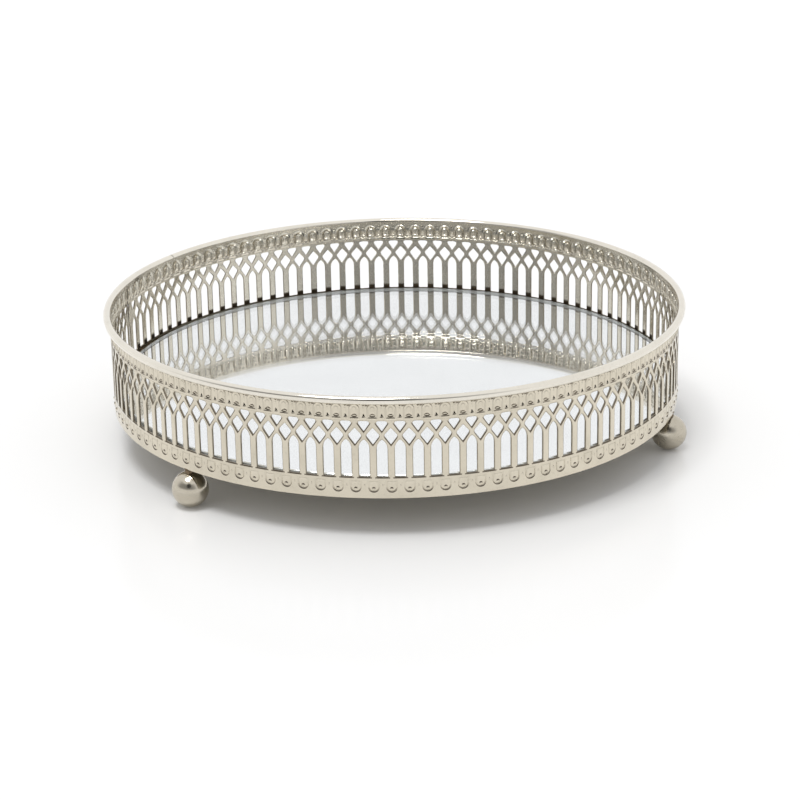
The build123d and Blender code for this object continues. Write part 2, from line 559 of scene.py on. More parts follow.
def halved(loop):
    """Left half of an outline alike on both sides, read upwards, with its points on the middle line."""
    count = len(loop)
    start = next(i for i in range(count) if loop[i - 1][0] >= -TINY and loop[i][0] < -TINY)
    left = []
    index = start
    while loop[index % count][0] < -TINY:
        left.append(loop[index % count])
        index += 1
    below = loop[index % count]
    above = loop[start - 1]
    low = (0.0, below[1] if abs(below[0]) <= TINY else left[-1][1])
    high = (0.0, above[1] if abs(above[0]) <= TINY else left[0][1])
    return [low, *reversed(left), high]


def whole(side):
    """Full counter-clockwise outline from its left half."""
    right = [(-across, up) for across, up in side]
    return right + list(reversed(side[1:-1]))


class Layout:
    """Azimuths and radii of the band, worked out from its sizes as on the solids."""

    def __init__(self):
        p = sizes("tray_pattern")
        per_metre = 1 / BAND_RADIUS
        self.bay = FULL_TURN / (p.bay_count + p.seam_bay)
        self.start = p.seam_azimuth
        self.end = self.start + FULL_TURN - p.seam_gap * per_metre
        first_window = self.start + (p.seam_land + p.window_width / 2) * per_metre
        self.windows = [first_window + bay * self.bay for bay in range(p.bay_count)]
        self.bars = [window + self.bay / 2 for window in self.windows]
        self.half_bay = BAND_RADIUS * self.bay / 2


def node(tree, kind, **settings):
    made = tree.nodes.new(kind)
    for key, value in settings.items():
        setattr(made, key, value)
    return made


class Number:
    """A number in a node tree; sums that are written with it become maths nodes."""

    def __init__(self, tree, socket):
        self.tree = tree
        self.socket = socket

    def maths(self, operation, *others):
        return maths(self.tree, operation, self, *others)

    def most(self, other):
        return self.maths("MAXIMUM", other)

    def __add__(self, other):
        return self.maths("ADD", other)

    def __sub__(self, other):
        return self.maths("SUBTRACT", other)

    def __rsub__(self, other):
        return maths(self.tree, "SUBTRACT", other, self)

    def __mul__(self, other):
        return self.maths("MULTIPLY", other)

    def __truediv__(self, other):
        return self.maths("DIVIDE", other)


def feed(tree, value, socket):
    """Links a socket to a number or another socket, or sets it to a plain value."""
    if isinstance(value, Number):
        value = value.socket
    if isinstance(value, bpy.types.NodeSocket):
        tree.links.new(value, socket)
    else:
        socket.default_value = value


def feed_all(tree, made, values):
    """Feeds the sockets of a node by their titles."""
    for title, value in values.items():
        feed(tree, value, made.inputs[title])
    return made


def maths(tree, operation, *values):
    made = node(tree, "ShaderNodeMath", operation=operation)
    for value, socket in zip(values, made.inputs):
        feed(tree, value, socket)
    return Number(tree, made.outputs[0])


def own_place(tree):
    """Place of a point on its own object."""
    return node(tree, "ShaderNodeTexCoord").outputs["Object"]


def split(tree, vector):
    """The three parts of a vector."""
    parts = node(tree, "ShaderNodeSeparateXYZ")
    tree.links.new(vector, parts.inputs[0])
    return [Number(tree, part) for part in parts.outputs]


def noise(tree, vector, scale, detail, roughness):
    made = node(tree, "ShaderNodeTexNoise")
    feed_all(tree, made, {"Vector": vector, "Scale": scale, "Detail": detail, "Roughness": roughness})
    return Number(tree, made.outputs["Fac"])


def ranged(value, low, high, to_low=0.0, to_high=1.0):
    """Number from low to high, spread softly from to_low to to_high."""
    made = node(value.tree, "ShaderNodeMapRange", interpolation_type="SMOOTHSTEP")
    ends = {"From Min": low, "From Max": high, "To Min": to_low, "To Max": to_high}
    feed_all(value.tree, made, {"Value": value, **ends})
    return Number(value.tree, made.outputs["Result"])


def above(value, low, soft):
    """One where a number is over another, with a soft edge under it."""
    return ranged(value, low - soft, low)


def below(value, high, soft):
    """One where a number is under another, with a soft edge over it."""
    return ranged(value, high, high + soft, 1.0, 0.0)


def between(value, low, high, soft):
    """One where a number lies between two others, with soft edges outside them."""
    return above(value, low, soft) * below(value, high, soft)


def span(across, up):
    """Length of the way from a point that lies so far across and up."""
    return (across * across + up * up).maths("SQRT")


def outside_line(across, height, foot, half, head):
    """Distance outside the line from the middle at the foot to half a width at the head."""
    size = hypot(half, head - foot)
    return across * ((head - foot) / size) - (height - foot) * (half / size)


def mixed(tree, factor, first, second):
    """The first colour, or the second where the factor is one."""
    made = node(tree, "ShaderNodeMix", data_type="RGBA")
    colours = [socket for socket in made.inputs if socket.type == "RGBA"]
    for value, socket in zip((factor, first, second), (made.inputs["Factor"], *colours)):
        feed(tree, value, socket)
    return next(socket for socket in made.outputs if socket.type == "RGBA")


def bumped(tree, height, distance, normal=None):
    """Normal of a surface with this height, over another normal if one is given."""
    made = feed_all(tree, node(tree, "ShaderNodeBump"), {"Height": height, "Distance": distance})
    if normal is not None:
        feed(tree, normal, made.inputs["Normal"])
    return made.outputs["Normal"]


def new_group(name, inputs, outputs):
    """A new node group with sockets of these kinds: its tree, what it is given and its result."""
    tree = bpy.data.node_groups.new(name, "ShaderNodeTree")
    for way, sockets in (("INPUT", inputs), ("OUTPUT", outputs)):
        for title, kind in sockets.items():
            tree.interface.new_socket(title, in_out=way, socket_type="NodeSocket" + kind)
    return tree, node(tree, "NodeGroupInput").outputs, node(tree, "NodeGroupOutput")


def aged_plate_group():
    """Node group: plated metal with cloudy tarnish, fine mottling and soft dents."""
    name = "aged_plate"
    if name in bpy.data.node_groups:
        return bpy.data.node_groups[name]
    amounts = dict.fromkeys(("Amount", "Cloud Scale", "Grain Scale", "Smooth", "Rough"), "Float")
    tree, given, result = new_group(
        name,
        {"Vector": "Vector", "Plate": "Color", "Tarnish": "Color", **amounts},
        {"Color": "Color", "Roughness": "Float", "Height": "Float"},
    )
    clouds = noise(tree, given["Vector"], given["Cloud Scale"], *PLATE_NOISE)
    grains = noise(tree, given["Vector"], given["Grain Scale"], *PLATE_NOISE)
    stain = ranged(clouds, *CLOUD_EDGES) * CLOUD_STAIN + ranged(grains, *GRAIN_EDGES) * (1 - CLOUD_STAIN)
    feed_all(tree, result, {
        "Color": mixed(tree, stain * given["Amount"], given["Plate"], given["Tarnish"]),
        "Roughness": ranged(stain, 0.0, 1.0, given["Smooth"], given["Rough"]),
        "Height": clouds * CLOUD_DENT + grains * (1 - CLOUD_DENT),
    })
    return tree


class BayPlace:
    """Where a point of the band lies in its bay, as numbers of a node tree."""

    def __init__(self, tree, vector):
        plan = Layout()
        x, y, z = split(tree, vector)
        azimuth = x.maths("ARCTAN2", y * -1.0)
        turned = (azimuth - plan.start).maths("FLOORED_MODULO", FULL_TURN)
        bays = (turned - (plan.windows[0] - plan.start)) / plan.bay
        pitch = 2 * plan.half_bay
        self.height = z - BASE_HEIGHT
        self.from_window = bays.maths("PINGPONG", 0.5) * pitch
        self.from_bar = plan.half_bay - self.from_window
        self.aside = (bays.maths("FRACT") - 0.5) * pitch
        self.to_seam = turned.maths("MINIMUM", FULL_TURN - turned)
        self.outside = span(x, y).maths("GREATER_THAN", BAND_RADIUS - sizes("tray_pattern").sheet / 2)
        self.inside = 1.0 - self.outside


def outer_marks(bay, p, o):
    """Darker at the sills and along the windows' sides; painted shade on the left shoulders; painted
    reflection of the dim room on the openings' lower slants.
    """
    soft = p.mark_width * MARK_SOFT
    half_window = p.window_width / 2
    half_bay = Layout().half_bay
    left, right = SHOULDER
    sill = between(bay.height, p.window_sill - SILL_DEPTH * p.mark_width, p.window_sill, soft)
    sill *= below(bay.from_window, half_window + SILL_OVERHANG * p.mark_width, 2 * soft)
    sides = between(bay.height, p.window_sill, p.window_spring, p.mark_width)
    sides *= below(bay.from_window, half_window, soft)
    # Painted shade on each arch's left shoulder.
    shoulder = between(bay.height, o.pit_foot + p.mark_width, o.pit_top - 2 * p.mark_width, 2 * soft)
    shoulder *= between(bay.aside, left * half_bay, right * half_bay, 3 * soft)
    total = sill.most(sides).most(shoulder)
    # Painted reflection of the dim room along the lower slants of the triangles and diamonds.
    for across, foot, half, head in (
        (bay.from_window, p.triangle_apex, p.triangle_width / 2, p.triangle_top),
        (bay.from_bar, p.diamond_bottom, p.diamond_width / 2, p.diamond_middle),
    ):
        away = outside_line(across, bay.height, foot, half, head)
        rise = head - foot
        slant = between(bay.height, foot - 2 * p.mark_width, foot + SLANT_END * rise, SLANT_FADE * rise)
        total = total.most(slant * below(away, p.mark_width, soft))
    return total


def inner_marks(bay, p, o):
    """Painted shade at the bars' feet, over the mirror, and darker along the seam."""
    # The bars' feet get painted shade, standing for the shadowed gap beside the mirror.
    feet_top = p.window_sill + FEET_HEIGHT * p.mark_width
    feet = between(bay.height, p.window_sill, feet_top, FEET_SOFT * p.mark_width)
    seam = below(bay.to_seam, p.mark_width / BAND_RADIUS, 2 * MARK_SOFT * p.mark_width / BAND_RADIUS)
    seam *= between(bay.height, p.triangle_apex, o.pit_foot, p.window_width)
    return feet.most(seam)


def back_relief(bay, o):
    """Back of the pressing: valleys behind arches and tongues, hills behind ovals and darts."""
    core, fall = BACK_TONGUE
    over_arch = (bay.height - (o.arch_top - o.arch_half)).most(0.0)
    ring = span(bay.from_bar, over_arch) / o.arch_half
    arch = ranged(ring, *BACK_ARCH_INNER) * ranged(ring, *BACK_ARCH_OUTER, 1.0, 0.0)
    arch *= above(bay.height, o.oval_height, o.oval_rise)
    over_tongue = (bay.height - (o.tongue_top - o.tongue_half)).most(0.0)
    tongue = below(span(bay.from_bar, over_tongue), core * o.tongue_half, fall * o.tongue_half)
    tongue *= above(bay.height, o.tongue_foot + 2 * o.moat, o.tongue_half)
    under = bay.height - o.oval_height
    squeezed = span(bay.from_bar * BACK_OVAL_SQUEEZE, under)
    oval_hill = below(squeezed, BACK_HILL_TOP, BACK_OVAL_SIDE * o.oval_half)
    dart_hill = below(span(bay.from_window, under), BACK_HILL_TOP, BACK_DART_SIDE * o.dart_half)
    return oval_hill.most(dart_hill) * BACK_HILL_RISE - arch.most(tongue * BACK_TONGUE_DEPTH)


def bay_marks_group():
    """Node group: darkening and painted shade round each bay's openings outside, painted shade at the bars'
    feet and a darker seam inside, and the soft back of the relief inside.
    """
    name = "bay_marks"
    if name in bpy.data.node_groups:
        return bpy.data.node_groups[name]
    p = sizes("tray_pattern")
    o = sizes("tray_ornament")
    tree, given, result = new_group(
        name, {"Vector": "Vector"}, dict.fromkeys(("Marks", "Relief", "Inside"), "Float")
    )
    bay = BayPlace(tree, given["Vector"])
    outer = outer_marks(bay, p, o) * (bay.outside * p.mark_depth)
    feed_all(tree, result, {
        "Marks": outer.most(inner_marks(bay, p, o) * bay.inside),
        "Relief": back_relief(bay, o) * bay.inside,
        "Inside": bay.inside,
    })
    return tree


def faded(colour_value, factor):
    return [factor * part for part in colour_value]


class Plate(NamedTuple):
    """A plated finish: two named colours with a share of each, and how the plate has aged."""

    plate: str
    plate_share: float
    tarnish: str
    tarnish_share: float
    amount: float
    smooth: float
    rough: float
    clouds: float
    grains: float
    dents: float
    # Whether the finish takes the band's painted shade and marks
    takes_painted_shade: bool = False

    def sockets(self, tree):
        """What the main shader is fed with."""
        c = sizes("tray_colours")
        group = feed_all(tree, node(tree, "ShaderNodeGroup", node_tree=aged_plate_group()), {
            "Vector": own_place(tree),
            "Plate": (*faded(getattr(c, self.plate), self.plate_share), 1),
            "Tarnish": (*faded(getattr(c, self.tarnish), self.tarnish_share), 1),
            "Amount": self.amount,
            "Cloud Scale": self.clouds,
            "Grain Scale": self.grains,
            "Smooth": self.smooth,
            "Rough": self.rough,
        })
        rough = Number(tree, group.outputs["Roughness"])
        found = (group.outputs["Color"], rough, bumped(tree, group.outputs["Height"], self.dents))
        if self.takes_painted_shade:
            found = with_painted_shade(tree, *found)
        return {**dict(zip(("Base Color", "Roughness", "Normal"), found)), "Metallic": 1.0}


class Stuff(NamedTuple):
    """A plain stuff whose tone, gloss and surface wander with a noise."""

    colour: str
    fade: float
    scale: float
    gloss: tuple
    dents: float
    metallic: float = 0.0

    def sockets(self, tree):
        """What the main shader is fed with."""
        colour_value = getattr(sizes("tray_colours"), self.colour)
        pattern = noise(tree, own_place(tree), self.scale, *STUFF_NOISE)
        tone = feed_all(tree, node(tree, "ShaderNodeValToRGB"), {"Fac": pattern})
        for element, position, share in zip(tone.color_ramp.elements, TONE_EDGES, (1.0, self.fade)):
            element.color = (*faded(colour_value, share), 1)
            element.position = position
        return {
            "Base Color": tone.outputs["Color"],
            "Roughness": ranged(pattern, *GLOSS_EDGES, *self.gloss),
            "Normal": bumped(tree, pattern, self.dents),
            "Metallic": self.metallic,
        }


FINISHES = {
    "gallery_plate": Plate("nickel", 1.0, "tarnish", 1.0, 0.35, 0.12, 0.24, 70, 800, 0.00003, True),
    "rolled_edge": Plate("rolled_edge", 1.0, "rolled_edge", 0.7, 0.5, 0.2, 0.4, 200, 1200, 0.00005, True),
    "cut_edge": Plate("cut_edge", 1.0, "cut_edge", 0.4, 0.8, 0.35, 0.6, 300, 1600, 0.0001),
    "rim_plate": Plate("rim", 1.0, "tarnish", 1.0, 0.2, 0.06, 0.14, 45, 500, 0.00003),
    "ball_plate": Plate("ball", 1.0, "tarnish", 1.0, 0.4, 0.12, 0.26, 120, 900, 0.00005),
    # The right foot's plate: rougher, and darkened as painted shade.
    "worn_ball_plate": Plate("ball", 0.95, "tarnish", 0.8, 0.6, 0.22, 0.34, 120, 900, 0.00005),
    "pan_plate": Plate("tarnish", 1.0, "tarnish", 0.6, 0.5, 0.3, 0.45, 30, 600, 0.00008),
    "braze": Plate("braze", 1.0, "braze", 0.5, 0.6, 0.35, 0.6, 300, 1200, 0.0001),
    "mirror_silver": Stuff("silver", 0.985, 35, (0.004, 0.03), 0.0, 1.0),
    "clear_glass": Stuff("glass", 0.99, 35, (0.0, 0.01), 0.0),
    "glass_edge": Stuff("glass_edge", 0.9, 300, (0.4, 0.55), 0.00002),
    "ground_arris": Stuff("arris", 0.8, 900, (0.15, 0.3), 0.00001, 1.0),
    "raw_board": Stuff("board", 0.7, 700, (0.75, 0.9), 0.0001),
    "cell_foam": Stuff("foam", 0.9, 1500, (0.8, 0.95), 0.0001),
    "pale_floor": Stuff("floor", 0.997, 3, (0.16, 0.2), 0.0),
}


def with_painted_shade(tree, plate, rough, normal):
    """Adds painted shade on slopes, round the openings and at the bars' feet to a colour and gloss, and the
    soft back to a normal.
    """
    c = sizes("tray_colours")
    bay = node(tree, "ShaderNodeGroup", node_tree=bay_marks_group())
    feed(tree, own_place(tree), bay.inputs["Vector"])
    marks, relief, inside = (Number(tree, socket) for socket in bay.outputs)
    gathered = Number(tree, node(tree, "ShaderNodeAttribute", attribute_name=SLOPE_SHADE).outputs["Fac"])
    amount = gathered.most(marks)
    plate = mixed(tree, inside * CLEANER_INSIDE, plate, (*c.bright_inside, 1))
    plate = mixed(tree, amount, plate, (*c.gathered, 1))
    normal = bumped(tree, relief, sizes("tray_ornament").back_relief, normal)
    return plate, rough + amount * SHADE_ROUGHER, normal


def shader_of(material):
    return material.node_tree.nodes["Principled BSDF"]


def material_of(name):
    """The finish of this name, made at its first use."""
    if name not in bpy.data.materials:
        material = bpy.data.materials.new(name)
        material.use_nodes = True
        tree = material.node_tree
        feed_all(tree, shader_of(material), FINISHES[name].sockets(tree))
    return bpy.data.materials[name]


def clear_glass():
    """Upper face of the mirror's glass, with a faint wander in its gloss."""
    material = material_of("clear_glass")
    feed_all(material.node_tree, shader_of(material), {"Transmission Weight": 1.0, "IOR": GLASS_IOR})
    return material


def pale_floor():
    """White floor with a faint gloss; what the camera sees of it is lifted a little towards white."""
    s = sizes("tray_studio")
    material = material_of("pale_floor")
    tree = material.node_tree
    path = node(tree, "ShaderNodeLightPath").outputs
    seen = Number(tree, path["Is Camera Ray"]).most(path["Is Glossy Ray"]).most(path["Is Transmission Ray"])
    feed_all(tree, shader_of(material), {
        "Specular IOR Level": s.floor_gloss,
        "Emission Color": WHITE,
        "Emission Strength": seen * s.floor_lift,
    })
    return material


def rings(motif, width, rise):
    """Rings of a motif, as widths and rises."""
    return [(across * width, up * rise) for across, up in RINGS[motif]]


def lancet(p, grow):
    """Pointed window, grown all round by its rolled edge."""
    half = p.window_width / 2
    rise = p.window_apex - p.window_spring
    radius = (half**2 + rise**2) / (2 * half)
    sweep = acos((radius - half) / (radius + grow))
    right = arc((half - radius, p.window_spring), radius + grow, 0, sweep, LANCET_STEPS)
    left = [(-across, up) for across, up in reversed(right[:-1])]
    corner = p.window_corner
    height = p.window_sill + corner
    left_corner = arc((corner - half, height), corner + grow, pi, 1.5 * pi, CORNER_STEPS)
    right_corner = arc((half - corner, height), corner + grow, -pi / 2, 0, CORNER_STEPS)
    return [*left_corner, *right_corner, *right, *left]


def triangle(p, grow):
    half = p.triangle_width / 2
    corners = [(0, p.triangle_apex), (half, p.triangle_top), (-half, p.triangle_top)]
    return eased(corners, (p.tip, p.triangle_corner, p.triangle_corner), grow)


def diamond(p, grow):
    half = p.diamond_width / 2
    middle = p.diamond_middle
    corners = [(0, p.diamond_bottom), (half, middle), (0, p.diamond_top), (-half, middle)]
    return eased(corners, (p.tip, p.diamond_side, p.tip, p.diamond_side), grow)


def window_line(p, o):
    """Everything that stands on a window's middle line, from below: its left half and its rings."""
    grow = 2 * p.roll_width
    rolled = rings("roll", p.roll_width, p.roll_depth)
    spur = spike(p.tip, o.rib_half, o.spur_foot, o.spur_top)
    dart = spike(p.tip, o.dart_half, o.dart_foot, o.dart_top)
    rib = tombstone(o.rib_half, o.rib_foot, o.rib_top, RIB_STEPS)
    pit = spike(p.tip, o.pit_half, o.pit_top, o.pit_foot)
    return [
        (halved(spur), rings("spur", o.rib_half, o.rise), PLATE, False),
        (halved(lancet(p, grow)), rolled, ROLLED, True),
        (halved(triangle(p, grow)), rolled, ROLLED, True),
        (halved(dart), rings("dart", o.moat, o.rise), PLATE, False),
        (halved(rib), rings("rib", o.rib_half, o.rise), PLATE, False),
        (halved(pit), rings("pit", o.moat, o.rise), ROLLED, False),
    ]


def window_cell(p, o):
    """The rings and bosses that stand on a window's middle line, whole."""
    parts = [
        embossed("on_window_line", whole(side), steps, tone, hollow)[0]
        for side, steps, tone, hollow in window_line(p, o)
    ]
    return joined(parts, "window_cell")


def bar_cell(p, o, pierced):
    """One bay of the strip from window to window, with the bar, its diamond and both friezes."""
    half = Layout().half_bay
    sides = [line[0] for line in window_line(p, o)]
    edge = [(half + across, up) for side in sides for across, up in side]
    right = [(half, 0.0), *edge, (half, BAND_HEIGHT)]
    left = [(-across, up) for across, up in reversed(right)]
    deep = o.rise * GROOVE_DEPTH
    ridge = ((o.slope, o.rise), (o.crest, 0.0), (o.slope, -o.rise))
    groove = ((o.groove_slope, -deep), (o.crest, 0.0), (o.groove_slope, deep))
    arch_line = tombstone(o.arch_half, o.arch_foot, o.arch_top, ARCH_STEPS)
    loop_line = tombstone(o.loop_half, o.loop_bottom, o.loop_top, ARCH_STEPS)
    loop_line = hung(loop_line, (o.loop_bottom + o.loop_top) / 2)
    tongue_line = tombstone(o.tongue_half, o.tongue_foot, o.tongue_top, TONGUE_STEPS)
    oval_line = oval(o.oval_height, o.oval_half, o.oval_rise, OVAL_POINTS)
    bead_line = oval(o.bead_height, o.bead_radius, o.bead_radius, BEAD_POINTS)
    arch, in_arch = embossed("arch", arch_line, ridge, hollow=True)
    loop, in_loop = embossed("loop", loop_line, groove, hollow=True)
    parts = [
        arch,
        loop,
        embossed("tongue", tongue_line, ((o.slope, o.rise * TONGUE_RISE), (o.crest, 0.0)))[0],
        embossed("oval", oval_line, rings("oval", o.moat, o.rise))[0],
        embossed("bead", bead_line, rings("bead", o.bead_radius, o.rise))[0],
        flat_piece("in_arch", [in_arch, tongue_line, oval_line]),
        flat_piece("in_loop", [in_loop, bead_line]),
    ]
    holes = [arch_line, loop_line]
    if pierced:
        opening = diamond(p, 2 * p.roll_width)
        holes.append(opening)
        rolled = rings("roll", p.roll_width, p.roll_depth)
        parts.append(embossed("diamond", opening, rolled, ROLLED, hollow=True)[0])
    parts.append(flat_piece("sheet", [right + left, *holes]))
    cell = joined(parts, "bar_cell")
    for vertex in cell.data.vertices:
        if o.loop_fade < vertex.co.z < p.window_sill - 2 * p.roll_width - TINY:
            vertex.co.y *= max(0.0, (o.loop_top - vertex.co.z) / (o.loop_top - o.loop_fade))
    return cell


def paint_slope_shade(band):
    """Marks how much painted shade each face takes, a painted reflection of the dim room: most on slopes
    that face up, none on steep undersides.
    """
    mesh = band.data
    marks = mesh.attributes.new(SLOPE_SHADE, "FLOAT", "FACE").data
    for face, mark in zip(mesh.polygons, marks):
        outward = Vector((face.center.x, face.center.y, 0)).normalized()
        flatness = face.normal.dot(outward)
        lean = max(0.0, 1 - flatness**2) ** 0.5
        if face.material_index == CUT or flatness < 0 or lean < LEAN_NONE:
            continue
        depth = min(1.0, (lean - LEAN_NONE) / (LEAN_FULL - LEAN_NONE))
        mark.value = depth * max(0.0, SIDE_SHARE + (1 - SIDE_SHARE) * face.normal.z / lean)


class TRAY_OT_gallery(bpy.types.Operator):
    """Model the pierced and embossed band, one bay copied round the tray"""

    bl_idname = "tray.gallery"
    bl_label = "Gallery Band"

    def execute(self, context):
        p = sizes("tray_pattern")
        o = sizes("tray_ornament")
        plan = Layout()
        before_first = p.seam_land + p.window_width / 2
        after_last = (plan.end - plan.bars[-1]) * BAND_RADIUS
        first = bent(cut_off(bar_cell(p, o, False), plan.half_bay - before_first, True))
        last = bent(cut_off(bar_cell(p, o, False), after_last, False))
        moved(first, Matrix.Rotation(plan.windows[0] - plan.bay / 2, 4, "Z"))
        moved(last, Matrix.Rotation(plan.bars[-1], 4, "Z"))
        bars = ring_of(bent(bar_cell(p, o, True)), plan.bars[:-1], "bars")
        windows = ring_of(bent(window_cell(p, o)), plan.windows, "windows")
        band = joined([bars, windows, first, last], "pierced_gallery")
        inner_share = (BAND_RADIUS - p.sheet) / BAND_RADIUS
        edit(band)
        bpy.ops.mesh.remove_doubles(threshold=MERGE)
        bpy.ops.mesh.select_all(action="SELECT")
        bpy.ops.mesh.extrude_region()
        bpy.ops.transform.resize(value=(inner_share, inner_share, 1), center_override=(0, 0, 0))
        leave_outward()
        mesh = band.data
        spread = [hypot(vertex.co.x, vertex.co.y) for vertex in mesh.vertices]
        for face in mesh.polygons:
            radii = [spread[index] for index in face.vertices]
            if max(radii) - min(radii) > p.sheet * CUT_SPREAD:
                face.material_index = CUT
        paint_slope_shade(band)
        smoothed(band, degrees=20)
        finished(band, "gallery_nickel", "gallery_band")
        return {"FINISHED"}


class TRAY_OT_rim(bpy.types.Operator):
    """Model the rim wire with its rebate, its butt joint and the solder in it"""

    bl_idname = "tray.rim"
    bl_label = "Rim Ring"

    def execute(self, context):
        s = sizes("tray_parts")
        radius = s.rim_wire / 2
        centre = (RIM_RADIUS - radius, RIM_TOP - radius)
        band_top = BASE_HEIGHT + BAND_HEIGHT
        rebate = BAND_RADIUS + s.rim_rebate
        start = pi - asin((band_top - centre[1]) / radius)
        end = -acos((rebate - centre[0]) / radius)
        wire = outline("rim_wire", [*arc(centre, radius, start, end, RIM_STEPS), (rebate, band_top)])
        half_gap = s.rim_joint_gap / 2 / centre[0]
        turn = FULL_TURN - 2 * half_gap
        moved(wire, Matrix.Rotation(-pi / 2 + s.rim_joint_azimuth + half_gap, 4, "Z"))
        edit(wire)
        bpy.ops.mesh.spin(steps=RIM_TURNS, angle=turn, center=(0, 0, 0), axis=(0, 0, 1))
        bpy.ops.mesh.select_all(action="SELECT")
        bpy.ops.mesh.fill_holes(sides=0)
        leave_outward()
        clad(wire, material_of("rim_plate"))
        smoothed(wire, degrees=40)
        finished(wire, "rim_nickel", "rim_ring")
        solder = lump("rim_solder", radius * SOLDER_SHARE, SOLDER_STRETCH)
        place = Matrix.Rotation(s.rim_joint_azimuth - pi / 2, 4, "Z")
        moved(solder, place @ Matrix.Translation((centre[0], 0, centre[1])))
        clad(solder, material_of("cut_edge"))
        finished(smoothed(solder), "rim_nickel")
        return {"FINISHED"}


def lump(name, radius, stretch):
    """Uneven round lump of solder."""
    piece = primitive(bpy.ops.mesh.primitive_ico_sphere_add, name, subdivisions=3, radius=radius)
    upward, sideways = LUMP_WAVES
    for vertex in piece.data.vertices:
        swell = 1 + LUMP_SWELL * sin(upward * vertex.co.z / radius + sideways * vertex.co.x / radius)
        vertex.co = Vector(a * b * swell for a, b in zip(vertex.co, stretch))
    return piece


class TRAY_OT_mirror(bpy.types.Operator):
    """Model the mirror disc: clear above, silver below, with a ground edge and arrises"""

    bl_idname = "tray.mirror"
    bl_label = "Mirror"

    def execute(self, context):
        s = sizes("tray_parts")
        depth = MIRROR_HIGH.z - MIRROR_LOW.z - s.silver_paint
        disc = primitive(
            bpy.ops.mesh.primitive_cylinder_add,
            "mirror_disc",
            vertices=MIRROR_SIDES,
            radius=MIRROR_RADIUS,
            depth=depth,
            location=(MIRROR_LOW + MIRROR_HIGH) / 2 + Vector((0, 0, s.silver_paint / 2)),
        )
        clad(disc, *map(material_of, ("mirror_silver", "glass_edge", "ground_arris")), clear_glass())
        edit(disc, "DESELECT", "EDGE")
        leave_edit()
        for edge in disc.data.edges:
            ends = [disc.data.vertices[index].co.z for index in edge.vertices]
            edge.select = abs(ends[0] - ends[1]) < depth / 2
        bpy.ops.object.mode_set(mode="EDIT")
        bpy.ops.mesh.bevel(offset=s.mirror_arris, offset_type="WIDTH", segments=1, affect="EDGES")
        leave_edit()
        for face in disc.data.polygons:
            upward = face.normal.z
            face.material_index = CLEAR if upward > FLAT else ARRIS if upward > SLANTED else EDGE
            if upward < -FLAT:
                face.material_index = SILVER
        smoothed(disc, degrees=20)
        finished(disc, "mirror", "mirror_glass")
        return {"FINISHED"}


class TRAY_OT_floor_stack(bpy.types.Operator):
    """Give the pan, the board and the foam pads under the mirror their finishes"""

    bl_idname = "tray.floor_stack"
    bl_label = "Pan, Board and Pads"

    def execute(self, context):
        finishes = {"base_pan": "pan_plate", "backing_board": "raw_board", "mirror_pads": "cell_foam"}
        for node_name, finish in finishes.items():
            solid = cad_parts[node_name]
            solid.data.materials.clear()
            clad(solid, material_of(finish))
        return {"FINISHED"}


class TRAY_OT_feet(bpy.types.Operator):
    """Model the ball feet, one ball copied to each foot's place"""

    bl_idname = "tray.feet"
    bl_label = "Ball Feet"

    def execute(self, context):
        nodes = [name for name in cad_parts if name.startswith("ball_foot")]
        low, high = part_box(nodes[0])
        radius = (high.x - low.x) / 2
        ball = primitive(
            bpy.ops.mesh.primitive_uv_sphere_add,
            "ball",
            segments=BALL_SEGMENTS,
            ring_count=BALL_RINGS,
            radius=radius,
            location=(0, 0, radius),
        )
        clad(ball, material_of("ball_plate"))
        model = smoothed(joined([ball, braze_neck(2 * radius)], "foot"), degrees=50)
        for name in nodes:
            low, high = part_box(name)
            foot = new_piece(name.replace("ball_foot", "plated_ball"), model.data.copy())
            moved(foot, Matrix.Translation(((low.x + high.x) / 2, (low.y + high.y) / 2, 0)))
            # The right foot takes a darker copy of the ball plate as painted shade, and a rougher one.
            if name.endswith("right"):
                foot.data.materials[0] = material_of("worn_ball_plate")
            finished(foot, "foot_nickel", name)
        bpy.data.objects.remove(model)
        return {"FINISHED"}


def braze_neck(ball_top):
    """Short neck from inside the ball up to the band's edge, flared by the braze at both ends."""
    s = sizes("tray_parts")
    flared = s.neck_radius + s.braze
    heights = [ball_top - s.neck_radius / 2, ball_top + s.braze, BASE_HEIGHT - s.braze, BASE_HEIGHT]
    radii = [flared, s.neck_radius, s.neck_radius, flared]
    neck = primitive(
        bpy.ops.mesh.primitive_circle_add,
        "neck",
        vertices=NECK_SIDES,
        radius=flared,
        fill_type="NGON",
        location=(0, 0, heights[0]),
    )
    edit(neck)
    for index in range(1, len(heights)):
        bpy.ops.mesh.extrude_region()
        bpy.ops.transform.translate(value=(0, 0, heights[index] - heights[index - 1]))
        change = radii[index] / radii[index - 1]
        bpy.ops.transform.resize(value=(change, change, 1), center_override=(0, 0, heights[index]))
    leave_outward()
    return clad(neck, material_of("braze"))


def towards(tree, direction, heading, elevation):
    """How nearly a direction points to a heading, turned from the front, and an elevation."""
    made = node(tree, "ShaderNodeVectorMath", operation="DOT_PRODUCT")
    flat = cos(elevation)
    feed(tree, direction, made.inputs[0])
    feed(tree, (flat * sin(heading), -flat * cos(heading), sin(elevation)), made.inputs[1])
    return Number(tree, made.outputs["Value"])


def background(tree, strength):
    """White light of some strength."""
    made = feed_all(tree, node(tree, "ShaderNodeBackground"), {"Color": WHITE, "Strength": strength})
    return made.outputs[0]


def either(tree, factor, first, second):
    """The first light, or the second where the factor is one."""
    made = node(tree, "ShaderNodeMixShader")
    for value, socket in zip((factor, first, second), made.inputs):
        feed(tree, value, socket)
    return made.outputs[0]


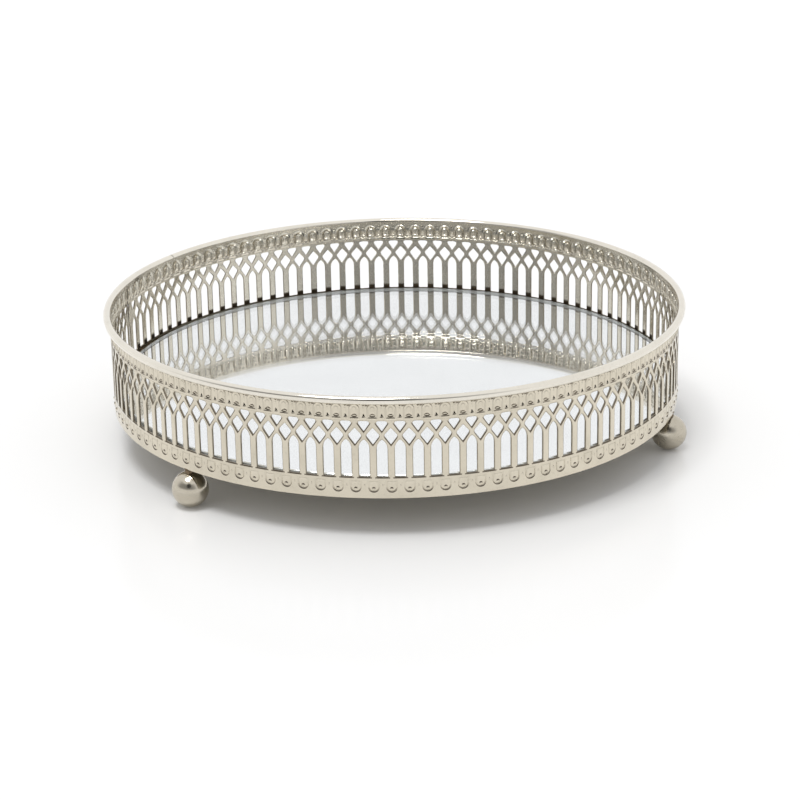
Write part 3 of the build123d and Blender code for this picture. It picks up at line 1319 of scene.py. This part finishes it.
def studio_world(s):
    """White surroundings; metal sees a dimmer room behind the camera; an even light falls on all."""
    world = bpy.data.worlds.new("studio")
    bpy.context.scene.world = world
    world.use_nodes = True
    tree = world.node_tree
    tree.nodes.clear()
    direction = node(tree, "ShaderNodeTexCoord").outputs["Generated"]
    height = split(tree, direction)[2]
    band = ranged(height, *s.band_foot) * ranged(height, *s.band_head, 1.0, 0.0)
    band *= ranged(towards(tree, direction, s.band_heading, 0.0), *s.band_sides)
    core = ranged(towards(tree, direction, s.core_heading, s.core_elevation), *s.core_sides)
    dimmed = (band * s.band_dark).most(core * s.core_dark)
    path = node(tree, "ShaderNodeLightPath").outputs
    shone = Number(tree, path["Is Glossy Ray"]).most(path["Is Transmission Ray"])
    lit = either(tree, shone, background(tree, s.sky_level), background(tree, s.room_level - dimmed))
    final = either(tree, path["Is Camera Ray"], lit, background(tree, 1.0))
    feed(tree, final, node(tree, "ShaderNodeOutputWorld").inputs[0])


class TRAY_OT_stage(bpy.types.Operator):
    """Set the pale floor, the soft light and the camera"""

    bl_idname = "tray.stage"
    bl_label = "Stage"

    def execute(self, context):
        s = sizes("tray_studio")
        floor = primitive(bpy.ops.mesh.primitive_plane_add, "floor", size=FLOOR_SIZE)
        clad(floor, pale_floor())
        lamp = bpy.data.lights.new("key_light", "SUN")
        lamp.energy = s.sun_strength
        lamp.angle = s.sun_angle
        key_light = new_piece("key_light", lamp)
        key_light.location = s.sun_from
        key_light.rotation_euler = (-Vector(s.sun_from)).to_track_quat("-Z", "Y").to_euler()
        camera = new_piece("camera", bpy.data.cameras.new("camera"))
        camera.location = s.camera_place
        camera.rotation_euler = s.camera_turn
        camera.data.lens = s.lens
        camera.data.clip_start = 0.01
        bpy.context.scene.camera = camera
        bpy.context.scene.view_settings.view_transform = "Standard"
        studio_world(s)
        return {"FINISHED"}


OPERATORS = (
    TRAY_OT_stage,
    TRAY_OT_gallery,
    TRAY_OT_rim,
    TRAY_OT_mirror,
    TRAY_OT_floor_stack,
    TRAY_OT_feet,
)


class TRAY_PT_sidebar(bpy.types.Panel):
    """Lists the tray's pieces"""

    bl_idname = "TRAY_PT_sidebar"
    bl_label = "Round Mirror Tray"
    bl_space_type = "VIEW_3D"
    bl_region_type = "UI"
    bl_category = "Tray"

    def draw(self, context):
        for operator in OPERATORS:
            self.layout.operator(operator.bl_idname, text=operator.bl_label)


GROUPS = {
    "tray_pattern": TrayPatternSizes,
    "tray_ornament": TrayOrnamentSizes,
    "tray_parts": TrayPartSizes,
    "tray_colours": TrayColours,
    "tray_studio": TrayStudio,
}


def register():
    for kind in (*GROUPS.values(), *OPERATORS, TRAY_PT_sidebar):
        bpy.utils.register_class(kind)
    for name, kind in GROUPS.items():
        setattr(bpy.types.Scene, name, PointerProperty(type=kind))


def unregister():
    for name in GROUPS:
        delattr(bpy.types.Scene, name)
    for kind in reversed((*GROUPS.values(), *OPERATORS, TRAY_PT_sidebar)):
        bpy.utils.unregister_class(kind)


def main():
    register()
    bpy.ops.tray.stage()
    bpy.ops.tray.gallery()
    bpy.ops.tray.rim()
    bpy.ops.tray.mirror()
    bpy.ops.tray.floor_stack()
    bpy.ops.tray.feet()


if __name__ == "__main__":
    main()
